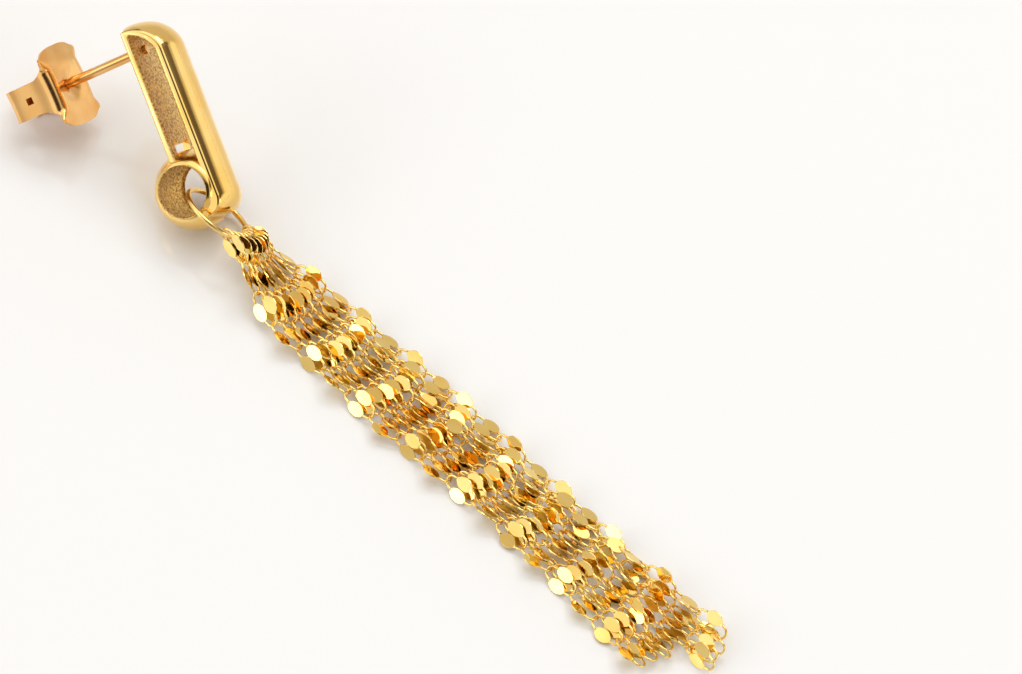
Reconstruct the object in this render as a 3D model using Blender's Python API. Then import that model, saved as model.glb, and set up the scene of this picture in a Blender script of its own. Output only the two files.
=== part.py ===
"""Dangle earring: a hollow cast head with an ear post, a friction clutch, a jump ring and
eight strands of mirror-link chain, lying on a flat surface.  Metres, +Z up."""

import math

import bmesh
import bpy
from mathutils import Matrix, Vector

MM = 0.001

# Head: local x runs from its top to the ball, y out of its front, z across its width
BALL_RADIUS = 3.57 * MM
BALL_WIDTH = 5.1 * MM
BORE_RADIUS = 2.25 * MM
BORE_UNDERCUT = 0.6 * MM
BAR_WIDTH = 4.5 * MM
BAR_TOP = 14.87 * MM
BAR_DEPTH = 3.25 * MM
BAR_CROWN = 0.78 * MM
BACK_WALL = 0.65 * MM
FRONT_WALL = 0.62 * MM
TOP_WALL = 0.52 * MM
BACK_OFFSET = 0.3 * MM
SHOULDER_LENGTH = 2.57 * MM
SHOULDER_POWER = 1.8
INNER_POWER = 1.55
CROWN_ONSET = 1.6
TOP_CROWN = 0.7
CROWN_FADE = 0.8
TONGUE_REACH = 2.87 * MM
TONGUE_RADIUS = 1.45 * MM
TONGUE_START = math.radians(90.0)
TONGUE_TURN = math.radians(100.0)
LAP_START = math.radians(28.0)
WINDOW_WIDTH = 2.7 * MM
WINDOW_TOP = 4.6 * MM
WINDOW_BULGE = 0.4 * MM
WINDOW_FOOT = 3.0 * MM
WALL_LAP = 0.3 * MM
HEAD_TURN = math.radians(-20.3)
HEAD_SLOPE = math.radians(25.9)
HEAD_ROLL = math.radians(38.6)

# Ear post
POST_RADIUS = 0.39 * MM
POST_LENGTH = 11.0 * MM
POST_PLACE = 12.97 * MM
POST_STUB = 0.25 * MM
POST_CHAMFER = 0.12 * MM

# Clutch: a strip of sheet, its plate across the post and its arms curled in behind
CLUTCH_PLACE = 7.3 * MM
CLUTCH_TWIST = math.radians(7.0)
CLUTCH_SHEET = 0.24 * MM
CLUTCH_LENGTH = 7.35 * MM
PLATE_HALF = 2.55 * MM
PLATE_BEND = 0.7 * MM
ARM_WIDTH = 2.9 * MM
ARM_DEPTH = 4.3 * MM
ARM_LEAN = 0.98
PLATE_LEAN = math.radians(9.3)
ARM_START = 0.42
CURL_RADIUS = 0.92 * MM
CURL_RETURN = 1.9 * MM
PLATE_DISH = 0.3 * MM
DIMPLE_DEPTH = 0.55 * MM
DIMPLE_RADIUS = 1.0 * MM
SLIDE_CLEARANCE = 0.06 * MM
ARM_WINDOW = 0.62 * MM
ARM_WINDOW_PLACE = 0.72
ARM_CLEAR = 1.5 * MM
CUTTER_REACH = 2.0 * MM

# Plate's taper: share of its half width, share of its dish, share of its half length
PLATE_TAPER = (
    (0.00, 0.000, 1.000),
    (0.30, 0.000, 0.995),
    (0.55, 0.020, 0.965),
    (0.78, 0.167, 0.840),
)

# Taper round the bend into the arm: share of the bend, share of the plate's half length
BEND_TAPER = ((0.0, 0.72), (0.5, 0.58), (1.0, 0.46))

# Jump ring: its centre from the ball's centre, and the normal of its plane
JUMP_RADIUS = 3.18 * MM
JUMP_WIRE = 0.235 * MM
JUMP_OFFSET = Vector((3.0, -0.11, -0.56)) * MM
JUMP_NORMAL = Vector((0.087, 0.731, 0.677)).normalized()
JUMP_SIDES = 40
JUMP_WIRE_SIDES = 8

# Chain link: a wire loop whose sides are pressed to two flat petals
LINK_LENGTH = 3.6 * MM
LINK_WIDTH = 2.45 * MM
LINK_WIRE = 0.135 * MM
LOOP_END = 0.34 * MM
LOOP_HALF = 0.64 * MM
PETAL_LENGTH = 1.55 * MM
PETAL_GAP = 0.06 * MM
PETAL_HALF_THICKNESS = 0.075 * MM
LINK_SINK = 0.09 * MM
LINK_WIRE_SIDES = 5
LINK_ROLL = math.radians(45.0)
FIRST_ROLL = math.radians(90.0)
RING_CLEARANCE = 0.14 * MM

# Strands, in lanes side by side from the near side (-Y) to the far side
LINKS_IN_STRAND = (18, 18, 18, 18, 19, 19, 19, 19)
LINKED_STRANDS = (0, 2, 5, 7)
ATTACH_FIRST = math.radians(-36.0)
ATTACH_LAST = math.radians(48.0)
STRAND_REACH = 56.0 * MM
DROP_LENGTH = 16.0 * MM
DROP_POWER = 3.0
SETTLE_LENGTH = 9.0 * MM
ROUTE_OVERRUN = 1.1
ROUTE_STEPS = 400
TUBE_RADIUS = 0.2 * MM
TUBE_NECK_RADIUS = 0.05 * MM
TUBE_NECK_LENGTH = 8.0 * MM
TUBE_SWELL = 10.0 * MM
TUBE_STEP = 2.4 * MM
TUBE_CLEARANCE = 0.3 * MM
WANDER = 0.06 * MM
WANDER_LENGTH = 5.0 * MM
WANDER_PHASE = 2.1
WANDER_ONSET = 27.0 * MM

# Bundle on the surface: share of the reach, middle of the bundle, lane spacing
BUNDLE = (
    (0.00, -0.45 * MM, 0.80 * MM),
    (0.12, -0.80 * MM, 0.80 * MM),
    (0.30, -0.70 * MM, 0.85 * MM),
    (0.50, -0.60 * MM, 0.84 * MM),
    (0.62, -0.65 * MM, 0.84 * MM),
    (0.78, -0.65 * MM, 0.88 * MM),
    (0.90, -0.80 * MM, 0.94 * MM),
    (1.00, -1.05 * MM, 0.99 * MM),
)

CROWN_SECTIONS = 8
OUTLINE_STEPS = 7
SPIN_STEPS = 32


def clear_scene():
    """Removes every object that the file opened with."""
    for item in list(bpy.data.objects):
        bpy.data.objects.remove(item, do_unlink=True)


def gold(name, colour, roughness):
    """A metal material of one colour."""
    material = bpy.data.materials.new(name)
    material.use_nodes = True
    shader = material.node_tree.nodes["Principled BSDF"]
    shader.inputs["Base Color"].default_value = (*colour, 1.0)
    shader.inputs["Metallic"].default_value = 1.0
    shader.inputs["Roughness"].default_value = roughness
    return material


def add_object(name, data, material=None, matrix=None):
    """Links a new object with its material and place."""
    item = bpy.data.objects.new(name, data)
    bpy.context.scene.collection.objects.link(item)
    if material:
        data.materials.append(material)
    if matrix:
        item.matrix_world = matrix
    return item


def as_tool(item):
    """Marks an object that only cuts or joins another."""
    item.hide_render = True
    item.display_type = "WIRE"
    return item


def combine(item, tool, operation):
    """Adds a Boolean modifier that uses the tool."""
    modifier = item.modifiers.new(tool.name, "BOOLEAN")
    modifier.operation = operation
    modifier.solver = "EXACT"
    modifier.object = tool


def skin(name, rings, loop=False):
    """A closed mesh through rings of points; open rows of rings get flat end caps."""
    mesh = bpy.data.meshes.new(name)
    bm = bmesh.new()
    add_skin(bm, rings, loop)
    bmesh.ops.recalc_face_normals(bm, faces=bm.faces)
    bm.to_mesh(mesh)
    bm.free()
    mesh.shade_smooth()
    mesh.set_sharp_from_angle(angle=math.radians(35.0))
    return mesh


def add_skin(bm, rings, loop=False):
    """Adds the skin through the rings to an open bmesh."""
    rows = [[bm.verts.new(point) for point in ring] for ring in rings]
    count = len(rows[0])
    pairs = list(zip(rows, rows[1:]))
    if loop:
        pairs.append((rows[-1], rows[0]))
    for row, following in pairs:
        for k in range(count):
            after = (k + 1) % count
            bm.faces.new((row[k], row[after], following[after], following[k]))
    if not loop:
        bm.faces.new(reversed(rows[0]))
        bm.faces.new(rows[-1])


def spun(name, profile, axis="z", steps=SPIN_STEPS):
    """A solid turned about an axis from (radius, height) pairs, its ends closed flat."""
    rings = []
    for radius, height in profile:
        ring = []
        for k in range(steps):
            angle = math.tau * (k + 0.5) / steps
            a = radius * math.cos(angle)
            b = radius * math.sin(angle)
            ring.append((a, b, height) if axis == "z" else (b, height, a))
        rings.append(ring)
    return skin(name, rings)


def smooth_step(share):
    """0 to 1 with level ends."""
    share = min(max(share, 0.0), 1.0)
    return share * share * (3.0 - 2.0 * share)


def shoulder(centre, reach, power, steps):
    """Points of a quarter turn from the -x side to the +y side."""
    points = []
    for k in range(steps + 1):
        angle = math.pi / 2.0 * k / steps
        across = math.cos(angle) ** (2.0 / power) if k < steps else 0.0
        up = math.sin(angle) ** (2.0 / power) if k else 0.0
        points.append((centre[0] - reach[0] * across, centre[1] + reach[1] * up))
    return points


def bar_outline():
    """The bar's closed side outline as (x, y, share of the crown)."""
    back = -BACK_OFFSET
    front = back + BAR_DEPTH
    inner_back = back + BACK_WALL
    inner_front = front - FRONT_WALL
    foot = -(BORE_RADIUS + WALL_LAP)
    outline = [(foot, back, 0.0), (-BAR_TOP, back, 0.0)]
    turn = (SHOULDER_LENGTH - BAR_TOP, back + TOP_WALL / 2.0)
    reach = (SHOULDER_LENGTH, front - turn[1])
    for k, (x, y) in enumerate(shoulder(turn, reach, SHOULDER_POWER, OUTLINE_STEPS)):
        rise = smooth_step((k + 1.0) / OUTLINE_STEPS * CROWN_ONSET)
        outline.append((x, y, TOP_CROWN + (1.0 - TOP_CROWN) * rise))
    tongue = (TONGUE_REACH - TONGUE_RADIUS, front - TONGUE_RADIUS)
    for k in range(OUTLINE_STEPS):
        angle = TONGUE_START - TONGUE_TURN * k / (OUTLINE_STEPS - 1.0)
        x = tongue[0] + TONGUE_RADIUS * math.cos(angle)
        y = tongue[1] + TONGUE_RADIUS * math.sin(angle)
        outline.append((x, y, 1.0 - CROWN_FADE * k / (OUTLINE_STEPS - 1.0)))
    lap = BORE_RADIUS + WALL_LAP
    meet = math.asin(min(inner_front / lap, 1.0))
    for k in range(OUTLINE_STEPS):
        angle = LAP_START + (math.pi - meet - LAP_START) * k / (OUTLINE_STEPS - 1.0)
        outline.append((lap * math.cos(angle), lap * math.sin(angle), 0.0))
    top = (SHOULDER_LENGTH - BAR_TOP, inner_back)
    reach = (SHOULDER_LENGTH - TOP_WALL, inner_front - inner_back)
    for x, y in reversed(shoulder(top, reach, INNER_POWER, OUTLINE_STEPS)):
        outline.append((x, y, 0.0))
    outline.append((foot, inner_back, 0.0))
    return outline


def crowned(outline, share, across):
    """The outline at one place across the width, pushed out along its normals."""
    ring = []
    count = len(outline)
    for k, (x, y, weight) in enumerate(outline):
        before = outline[k - 1]
        after = outline[(k + 1) % count]
        run = Vector((after[0] - before[0], after[1] - before[1]))
        normal = Vector((-run.y, run.x)).normalized()
        push = BAR_CROWN * weight * share
        ring.append((x + normal.x * push, y + normal.y * push, across))
    return ring


def bar_mesh():
    """The bar: its outline carried across the width, swelling towards the middle."""
    outline = bar_outline()
    half = BAR_WIDTH / 2.0
    arc = (half * half + BAR_CROWN * BAR_CROWN) / (2.0 * BAR_CROWN)
    rings = []
    for k in range(CROWN_SECTIONS + 1):
        across = half * (2.0 * k / CROWN_SECTIONS - 1.0)
        rise = math.sqrt(arc * arc - across * across) - (arc - BAR_CROWN)
        rings.append(crowned(outline, rise / BAR_CROWN, across))
    return skin("bar", rings)


def ball_mesh():
    """The ball as a solid turned about the width, with flat ends."""
    half = BALL_WIDTH / 2.0
    profile = []
    for k in range(13):
        height = half * (k / 6.0 - 1.0)
        profile.append((math.sqrt(BALL_RADIUS ** 2 - height ** 2), height))
    return spun("ball", profile)


def bore_mesh():
    """The hole through the ball, wider inside than at its rims."""
    half = BALL_WIDTH / 2.0
    profile = [(BORE_RADIUS, -half - WALL_LAP)]
    for k in range(9):
        share = k / 4.0 - 1.0
        radius = BORE_RADIUS + BORE_UNDERCUT * math.sqrt(max(1.0 - share * share, 0.0))
        profile.append((radius, half * share))
    profile.append((BORE_RADIUS, half + WALL_LAP))
    return spun("bore", profile)


def window_mesh():
    """The slot between the ball and the rounded end of the back wall."""
    half = WINDOW_WIDTH / 2.0
    edge = []
    for k in range(9):
        share = k / 4.0 - 1.0
        edge.append((WINDOW_BULGE * math.cos(math.pi / 2.0 * share) - WINDOW_TOP, half * share))
    corners = edge + [(-WINDOW_FOOT, half), (-WINDOW_FOOT, -half)]
    heights = (-BACK_OFFSET - WALL_LAP, BACK_WALL)
    return skin("window", [[(x, y, z) for x, z in corners] for y in heights])


def rod_mesh(name, radius, low, high, chamfer=0.0, steps=16):
    """A rod along y, chamfered at its low end."""
    profile = [(radius, high), (radius, low + chamfer)]
    if chamfer:
        profile.append((radius - chamfer, low))
    return spun(name, profile[::-1], "y", steps)


def head_frame():
    """The head's placement: its ball stands on the surface."""
    turn = Matrix.Rotation(HEAD_TURN, 4, "Z")
    slope = Matrix.Rotation(HEAD_SLOPE, 4, "Y")
    roll = Matrix.Rotation(HEAD_ROLL, 4, "X")
    return Matrix.Translation((0.0, 0.0, BALL_RADIUS)) @ turn @ slope @ roll


def build_head(material, frame):
    """The cast head with its post, one solid."""
    head = add_object("earring_head", bar_mesh(), material, frame)
    combine(head, as_tool(add_object("window", window_mesh(), None, frame)), "DIFFERENCE")
    combine(head, as_tool(add_object("ball", ball_mesh(), None, frame)), "UNION")
    combine(head, as_tool(add_object("bore", bore_mesh(), None, frame)), "DIFFERENCE")
    seat = BACK_WALL - BACK_OFFSET + POST_STUB
    post = rod_mesh("post", POST_RADIUS, -BACK_OFFSET - POST_LENGTH, seat, POST_CHAMFER)
    place = Matrix.Translation((-POST_PLACE, 0.0, 0.0))
    combine(head, as_tool(add_object("post", post, None, frame @ place)), "UNION")
    return head


def clutch_path():
    """Half of the sheet's bent path from the post outwards: (across, back, half width)."""
    plate = CLUTCH_LENGTH / 2.0
    arm = ARM_WIDTH / 2.0
    path = [(a * PLATE_HALF, -b * PLATE_DISH, w * plate) for a, b, w in PLATE_TAPER]
    for share, width in BEND_TAPER:
        angle = math.pi / 2.0 * (1.0 - share)
        across = PLATE_HALF - PLATE_BEND + PLATE_BEND * math.cos(angle)
        path.append((across, PLATE_BEND * (math.sin(angle) - 1.0), plate * width))
    path.append((PLATE_HALF * ARM_LEAN, -ARM_START * ARM_DEPTH, arm))
    centre = (POST_RADIUS + SLIDE_CLEARANCE + CLUTCH_SHEET / 2.0 + CURL_RADIUS, -ARM_DEPTH)
    for k in range(7):
        angle = -math.pi * k / 6.0
        path.append((centre[0] + CURL_RADIUS * math.cos(angle),
                     centre[1] + CURL_RADIUS * math.sin(angle), arm))
    path.append((centre[0] - CURL_RADIUS, centre[1] + CURL_RETURN, arm))
    return path


def clutch_sheet():
    """The sheet's middle surface, both halves, as a grid of points."""
    half = clutch_path()
    path = [(-a, b, w) for a, b, w in reversed(half[1:])] + half
    columns = 8
    grid = []
    for across, back, width in path:
        lean = math.tan(PLATE_LEAN) * across * smooth_step(1.0 + back / ARM_DEPTH)
        row = []
        for k in range(columns + 1):
            share = 2.0 * k / columns - 1.0
            x = width * share
            distance = math.hypot(x, across)
            dip = DIMPLE_DEPTH * math.exp(-(distance / DIMPLE_RADIUS) ** 2)
            dip = dip if back > -bend_depth() else 0.0
            row.append(Vector((x, back - dip - lean, across)))
        grid.append(row)
    return grid


def bend_depth():
    """How far back the plate's own surface reaches."""
    return PLATE_DISH * 2.0


def clutch_mesh():
    """The sheet thickened to both sides of its middle surface."""
    grid = clutch_sheet()
    rows = len(grid)
    columns = len(grid[0])
    front = []
    rear = []
    for i in range(rows):
        for j in range(columns):
            along = grid[min(i + 1, rows - 1)][j] - grid[max(i - 1, 0)][j]
            wide = grid[i][min(j + 1, columns - 1)] - grid[i][max(j - 1, 0)]
            normal = along.cross(wide).normalized() * (CLUTCH_SHEET / 2.0)
            front.append(grid[i][j] + normal)
            rear.append(grid[i][j] - normal)
    mesh = bpy.data.meshes.new("clutch")
    bm = bmesh.new()
    upper = [bm.verts.new(point) for point in front]
    lower = [bm.verts.new(point) for point in rear]
    for i in range(rows - 1):
        for j in range(columns - 1):
            a = i * columns + j
            b = a + columns
            bm.faces.new((upper[a], upper[a + 1], upper[b + 1], upper[b]))
            bm.faces.new((lower[a], lower[b], lower[b + 1], lower[a + 1]))
    rim = list(range(columns))
    rim += [i * columns + columns - 1 for i in range(1, rows)]
    rim += [(rows - 1) * columns + j for j in range(columns - 2, -1, -1)]
    rim += [i * columns for i in range(rows - 2, 0, -1)]
    for k, a in enumerate(rim):
        b = rim[(k + 1) % len(rim)]
        bm.faces.new((upper[b], upper[a], lower[a], lower[b]))
    bmesh.ops.recalc_face_normals(bm, faces=bm.faces)
    bm.to_mesh(mesh)
    bm.free()
    mesh.shade_smooth()
    mesh.set_sharp_from_angle(angle=math.radians(35.0))
    return mesh


def arm_window(side):
    """A box that punches the square window in the arm on one side."""
    mesh = bpy.data.meshes.new("arm_window")
    bm = bmesh.new()
    bmesh.ops.create_cube(bm, size=1.0)
    bmesh.ops.scale(bm, verts=bm.verts, vec=(ARM_WINDOW, ARM_WINDOW, CUTTER_REACH))
    middle = (0.0, -ARM_WINDOW_PLACE * ARM_DEPTH, side * (ARM_CLEAR + CUTTER_REACH / 2.0))
    bmesh.ops.translate(bm, verts=bm.verts, vec=middle)
    bm.to_mesh(mesh)
    bm.free()
    return mesh


def build_clutch(material, frame):
    """The clutch, its origin on the post's axis at the plate."""
    seat = (-POST_PLACE, -BACK_OFFSET - CLUTCH_PLACE, 0.0)
    place = frame @ Matrix.Translation(seat) @ Matrix.Rotation(CLUTCH_TWIST, 4, "Y")
    clutch = add_object("butterfly_clutch", clutch_mesh(), material, place)
    radius = POST_RADIUS + SLIDE_CLEARANCE
    hole = rod_mesh("clutch_hole", radius, -CUTTER_REACH, CUTTER_REACH)
    combine(clutch, as_tool(add_object("clutch_hole", hole, None, place)), "DIFFERENCE")
    for side in (-1.0, 1.0):
        combine(clutch, as_tool(add_object("arm_window", arm_window(side), None, place)), "DIFFERENCE")
    return clutch


def jump_axes():
    """Two directions in the jump ring's plane: outwards and down its far side."""
    out = Vector((1.0, 0.0, 0.0))
    out = (out - JUMP_NORMAL * out.dot(JUMP_NORMAL)).normalized()
    return out, JUMP_NORMAL.cross(out)


def jump_point(angle, centre):
    """A point of the jump ring's wire and the wire's direction there."""
    out, down = jump_axes()
    radial = out * math.cos(angle) + down * math.sin(angle)
    along = down * math.cos(angle) - out * math.sin(angle)
    return centre + radial * JUMP_RADIUS, along


def build_jump_ring(material, centre):
    """The jump ring as a swept wire."""
    rings = []
    for k in range(JUMP_SIDES):
        angle = math.tau * k / JUMP_SIDES
        point, along = jump_point(angle, Vector())
        radial = point.normalized()
        ring = []
        for j in range(JUMP_WIRE_SIDES):
            turn = math.tau * (j + 0.5) / JUMP_WIRE_SIDES
            offset = radial * math.cos(turn) + JUMP_NORMAL * math.sin(turn)
            ring.append(point + offset * JUMP_WIRE)
        rings.append(ring)
    return add_object("jump_ring", skin("jump_ring", rings, True), material, Matrix.Translation(centre))


def link_sections():
    """A link's loop: place along and across, then half width and half thickness."""
    reach = 1.0 + math.cos(math.pi / LINK_WIRE_SIDES)
    petal = (LINK_WIDTH - PETAL_GAP) / 2.0 / reach
    tip = LINK_LENGTH / 2.0 - LINK_WIRE
    quarter = [
        (tip, LOOP_END, LINK_WIRE, LINK_WIRE),
        (PETAL_LENGTH / 2.0 + LINK_WIRE * 1.5, LOOP_HALF, LINK_WIRE * 1.1, LINK_WIRE * 0.95),
        (PETAL_LENGTH * 0.3, PETAL_GAP / 2.0 + petal, petal, PETAL_HALF_THICKNESS),
    ]
    side_run = quarter + [(-x, y, w, t) for x, y, w, t in reversed(quarter)]
    return side_run + [(-x, -y, w, t) for x, y, w, t in side_run]


def link_rings(place, along, across, normal):
    """The rings of one link round its loop."""
    sections = link_sections()
    count = len(sections)
    rings = []
    for k, (x, y, half_width, half_thickness) in enumerate(sections):
        before = sections[k - 1]
        after = sections[(k + 1) % count]
        run = Vector((after[0] - before[0], after[1] - before[1])).normalized()
        out = along * run.y - across * run.x
        middle = place + along * x + across * y
        ring = []
        for j in range(LINK_WIRE_SIDES):
            turn = math.tau * (j + 0.5) / LINK_WIRE_SIDES
            offset = out * (half_width * math.cos(turn)) + normal * (half_thickness * math.sin(turn))
            ring.append(middle + offset)
        rings.append(ring)
    return rings


def link_pitch():
    """Distance between link centres when neighbours are fused where they touch."""
    return LINK_LENGTH - 4.0 * LINK_WIRE + LINK_SINK


def rest_height():
    """Height of a strand's middle when its links lie at LINK_ROLL to the surface."""
    edge = LINK_WIDTH / 2.0 * math.sin(LINK_ROLL)
    return edge + PETAL_HALF_THICKNESS * math.cos(LINK_ROLL)


def bundle_at(share):
    """Middle of the bundle and its lane spacing, eased between the rows of BUNDLE."""
    share = min(max(share, 0.0), 1.0)
    for low, high in zip(BUNDLE, BUNDLE[1:]):
        if share <= high[0]:
            ease = smooth_step((share - low[0]) / (high[0] - low[0]))
            middle = low[1] + (high[1] - low[1]) * ease
            return middle, low[2] + (high[2] - low[2]) * ease
    return BUNDLE[-1][1], BUNDLE[-1][2]


def strand_route(index, centre):
    """Closely spaced points from the jump ring's wire to past the strand's last link."""
    last = len(LINKS_IN_STRAND) - 1
    angle = ATTACH_FIRST + (ATTACH_LAST - ATTACH_FIRST) * index / last
    start, along = jump_point(angle, centre)
    lane = index - last / 2.0
    points = []
    for k in range(ROUTE_STEPS + 1):
        run = STRAND_REACH * ROUTE_OVERRUN * k / ROUTE_STEPS
        middle, spacing = bundle_at(run / STRAND_REACH)
        wander = WANDER * math.sin(run / WANDER_LENGTH + WANDER_PHASE * index)
        wander *= smooth_step(run / WANDER_ONSET)
        settled = smooth_step(run / SETTLE_LENGTH)
        y = start.y + (middle + lane * spacing + wander - start.y) * settled
        fall = max(1.0 - run / DROP_LENGTH, 0.0) ** DROP_POWER
        z = rest_height() + (start.z - rest_height()) * fall
        points.append(Vector((start.x + run, y, z)))
    return points, along


def walk(points, distance):
    """The point at a distance along the route and the direction there."""
    for low, high in zip(points, points[1:]):
        length = (high - low).length
        if distance <= length:
            return low + (high - low) * (distance / length), (high - low).normalized()
        distance -= length
    return points[-1], (points[-1] - points[-2]).normalized()


def link_axes(direction, wire, distance, index):
    """Directions across and normal to a link; neighbours turn to opposite sides."""
    level = Vector((0.0, 1.0, 0.0))
    row = wire.lerp(level, smooth_step(distance / SETTLE_LENGTH))
    row = (row - direction * row.dot(direction)).normalized()
    up = direction.cross(row)
    roll = LINK_ROLL if index % 2 else -LINK_ROLL
    roll = roll if index else FIRST_ROLL
    across = row * math.cos(roll) + up * math.sin(roll)
    return across, direction.cross(across)


def strand_mesh(name, route, wire, links, parity):
    """Every second link of a strand."""
    first = LINK_LENGTH / 2.0 - 2.0 * LINK_WIRE - JUMP_WIRE - RING_CLEARANCE
    mesh = bpy.data.meshes.new(name)
    bm = bmesh.new()
    for k in range(parity, links, 2):
        distance = first + k * link_pitch()
        place, direction = walk(route, distance)
        across, normal = link_axes(direction, wire, distance, k)
        add_skin(bm, link_rings(place, direction, across, normal), True)
    bmesh.ops.recalc_face_normals(bm, faces=bm.faces)
    bm.to_mesh(mesh)
    bm.free()
    mesh.shade_smooth()
    mesh.set_sharp_from_angle(angle=math.radians(50.0))
    return mesh


def build_linked_strand(name, material, route, wire, links):
    """A strand of links fused where they touch."""
    strand = add_object(name, strand_mesh(name, route, wire, links, 0), material)
    others = add_object(name + "_turned", strand_mesh(name + "_turned", route, wire, links, 1))
    combine(strand, as_tool(others), "UNION")
    return strand


def build_tube_strand(name, material, route, links):
    """A strand's plain form: a tube along its route, slender where it leaves the ring."""
    curve = bpy.data.curves.new(name, "CURVE")
    curve.dimensions = "3D"
    curve.bevel_depth = TUBE_RADIUS
    curve.bevel_resolution = 2
    curve.use_fill_caps = True
    length = (links - 1) * link_pitch() + LINK_LENGTH - 2.0 * LINK_WIRE
    begin = JUMP_WIRE + TUBE_CLEARANCE
    steps = math.ceil((length - begin) / TUBE_STEP)
    spline = curve.splines.new("POLY")
    spline.points.add(steps)
    for k in range(steps + 1):
        distance = begin + (length - begin) * k / steps
        place, _ = walk(route, distance)
        neck = TUBE_NECK_RADIUS / TUBE_RADIUS
        swell = smooth_step((distance - TUBE_NECK_LENGTH) / TUBE_SWELL)
        spline.points[k].co = (*place, 1.0)
        spline.points[k].radius = neck + (1.0 - neck) * swell
    return add_object(name, curve, material)


def extent(items):
    """The corners of the box round the evaluated objects."""
    graph = bpy.context.evaluated_depsgraph_get()
    places = []
    for item in items:
        evaluated = item.evaluated_get(graph)
        places += [item.matrix_world @ vertex.co for vertex in evaluated.to_mesh().vertices]
        evaluated.to_mesh_clear()
    low = Vector([min(place[k] for place in places) for k in range(3)])
    high = Vector([max(place[k] for place in places) for k in range(3)])
    return low, high


def main():
    clear_scene()
    yellow = gold("yellow_gold", (0.90, 0.62, 0.26), 0.16)
    peach = gold("peach_gold", (0.90, 0.56, 0.30), 0.22)
    frame = head_frame()
    centre = Vector((0.0, 0.0, BALL_RADIUS)) + JUMP_OFFSET
    pieces = [build_head(yellow, frame), build_clutch(peach, frame), build_jump_ring(yellow, centre)]
    for index, links in enumerate(LINKS_IN_STRAND):
        route, wire = strand_route(index, centre)
        name = "strand_{}".format(index + 1)
        if index in LINKED_STRANDS:
            pieces.append(build_linked_strand(name, yellow, route, wire, links))
        else:
            pieces.append(build_tube_strand(name, yellow, route, links))
    bpy.context.view_layer.update()
    low, high = extent(pieces)
    middle = (low + high) / 2.0
    shift = Matrix.Translation((-middle.x, -middle.y, -low.z))
    for item in bpy.data.objects:
        item.matrix_world = shift @ item.matrix_world


main()
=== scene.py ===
"""Looks of a gold dangle earring that lies on a pale glossy table: its cast head with the ear
post, the clutch, the jump ring and eight strands of mirror-link chain.  Metres, +Z up."""

import math

import bmesh
import bpy
from mathutils import Matrix, Vector


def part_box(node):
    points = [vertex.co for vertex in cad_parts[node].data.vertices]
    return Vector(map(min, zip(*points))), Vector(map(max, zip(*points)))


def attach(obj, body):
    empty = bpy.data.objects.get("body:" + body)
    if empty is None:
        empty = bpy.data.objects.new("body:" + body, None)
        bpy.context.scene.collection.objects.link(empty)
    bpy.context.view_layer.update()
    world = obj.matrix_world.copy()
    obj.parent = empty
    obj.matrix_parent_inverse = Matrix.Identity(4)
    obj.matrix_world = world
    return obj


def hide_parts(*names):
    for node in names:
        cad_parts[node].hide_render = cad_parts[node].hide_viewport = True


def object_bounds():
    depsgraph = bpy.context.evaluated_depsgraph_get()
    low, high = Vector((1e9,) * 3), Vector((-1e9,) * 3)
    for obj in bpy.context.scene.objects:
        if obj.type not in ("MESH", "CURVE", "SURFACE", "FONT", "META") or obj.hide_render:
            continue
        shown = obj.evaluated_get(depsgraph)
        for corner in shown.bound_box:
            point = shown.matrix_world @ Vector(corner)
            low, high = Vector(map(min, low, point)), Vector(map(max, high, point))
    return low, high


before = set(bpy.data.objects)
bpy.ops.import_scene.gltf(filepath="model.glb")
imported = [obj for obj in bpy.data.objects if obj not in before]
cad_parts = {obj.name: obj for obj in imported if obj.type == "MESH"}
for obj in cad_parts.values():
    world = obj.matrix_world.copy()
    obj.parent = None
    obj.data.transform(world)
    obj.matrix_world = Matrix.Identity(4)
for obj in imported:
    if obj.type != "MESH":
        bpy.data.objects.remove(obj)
CAD_BOX = [list(corner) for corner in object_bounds()]
MM = 0.001

bl_info = {
    "name": "Dangle earring",
    "version": (1, 0, 0),
    "blender": (4, 5, 0),
    "location": "3D View > Sidebar > Earring",
    "description": "Builds a gold tassel earring with its finish, table and light",
    "category": "Add Mesh",
}

# Placement of the head, and of the jump ring's centre from the ball's centre
HEAD_TURN = math.radians(-20.3)
HEAD_SLOPE = math.radians(25.9)
HEAD_ROLL = math.radians(38.6)
JUMP_OFFSET = Vector((3.0, -0.11, -0.56)) * MM
JUMP_NORMAL = Vector((0.087, 0.731, 0.677)).normalized()

# Strands in lanes side by side: links in each, from the near side to the far side
LINKS_IN_STRAND = (18, 18, 18, 18, 19, 19, 19, 19)

# Noises of the metals: scale per metre of each, and how deep the relief is
BROAD_SCALE = 260.0
FINE_SCALE = 2600.0
PIT_SCALE = 5000.0
RELIEF_DEPTH = 0.00005

# Bundle on the surface: share of the reach, middle of the bundle, lane spacing
BUNDLE = (
    (0.00, -0.45 * MM, 0.80 * MM),
    (0.12, -0.80 * MM, 0.80 * MM),
    (0.30, -0.70 * MM, 0.85 * MM),
    (0.50, -0.60 * MM, 0.84 * MM),
    (0.62, -0.65 * MM, 0.84 * MM),
    (0.78, -0.65 * MM, 0.88 * MM),
    (0.90, -0.80 * MM, 0.94 * MM),
    (1.00, -1.05 * MM, 0.99 * MM),
)


def length(name, description, value):
    """A length property in metres."""
    return bpy.props.FloatProperty(
        name=name, description=description, default=value, min=0.0, unit="LENGTH", precision=5
    )


def angle(name, description, degrees):
    """An angle property, its default given in degrees."""
    return bpy.props.FloatProperty(
        name=name, description=description, default=math.radians(degrees), subtype="ANGLE"
    )


def colour(name, description, value):
    """A colour property."""
    return bpy.props.FloatVectorProperty(
        name=name, description=description, default=value, size=3, min=0.0, max=1.0, subtype="COLOR"
    )


def factor(name, description, value):
    """A plain share or strength."""
    return bpy.props.FloatProperty(name=name, description=description, default=value, min=0.0)


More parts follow.
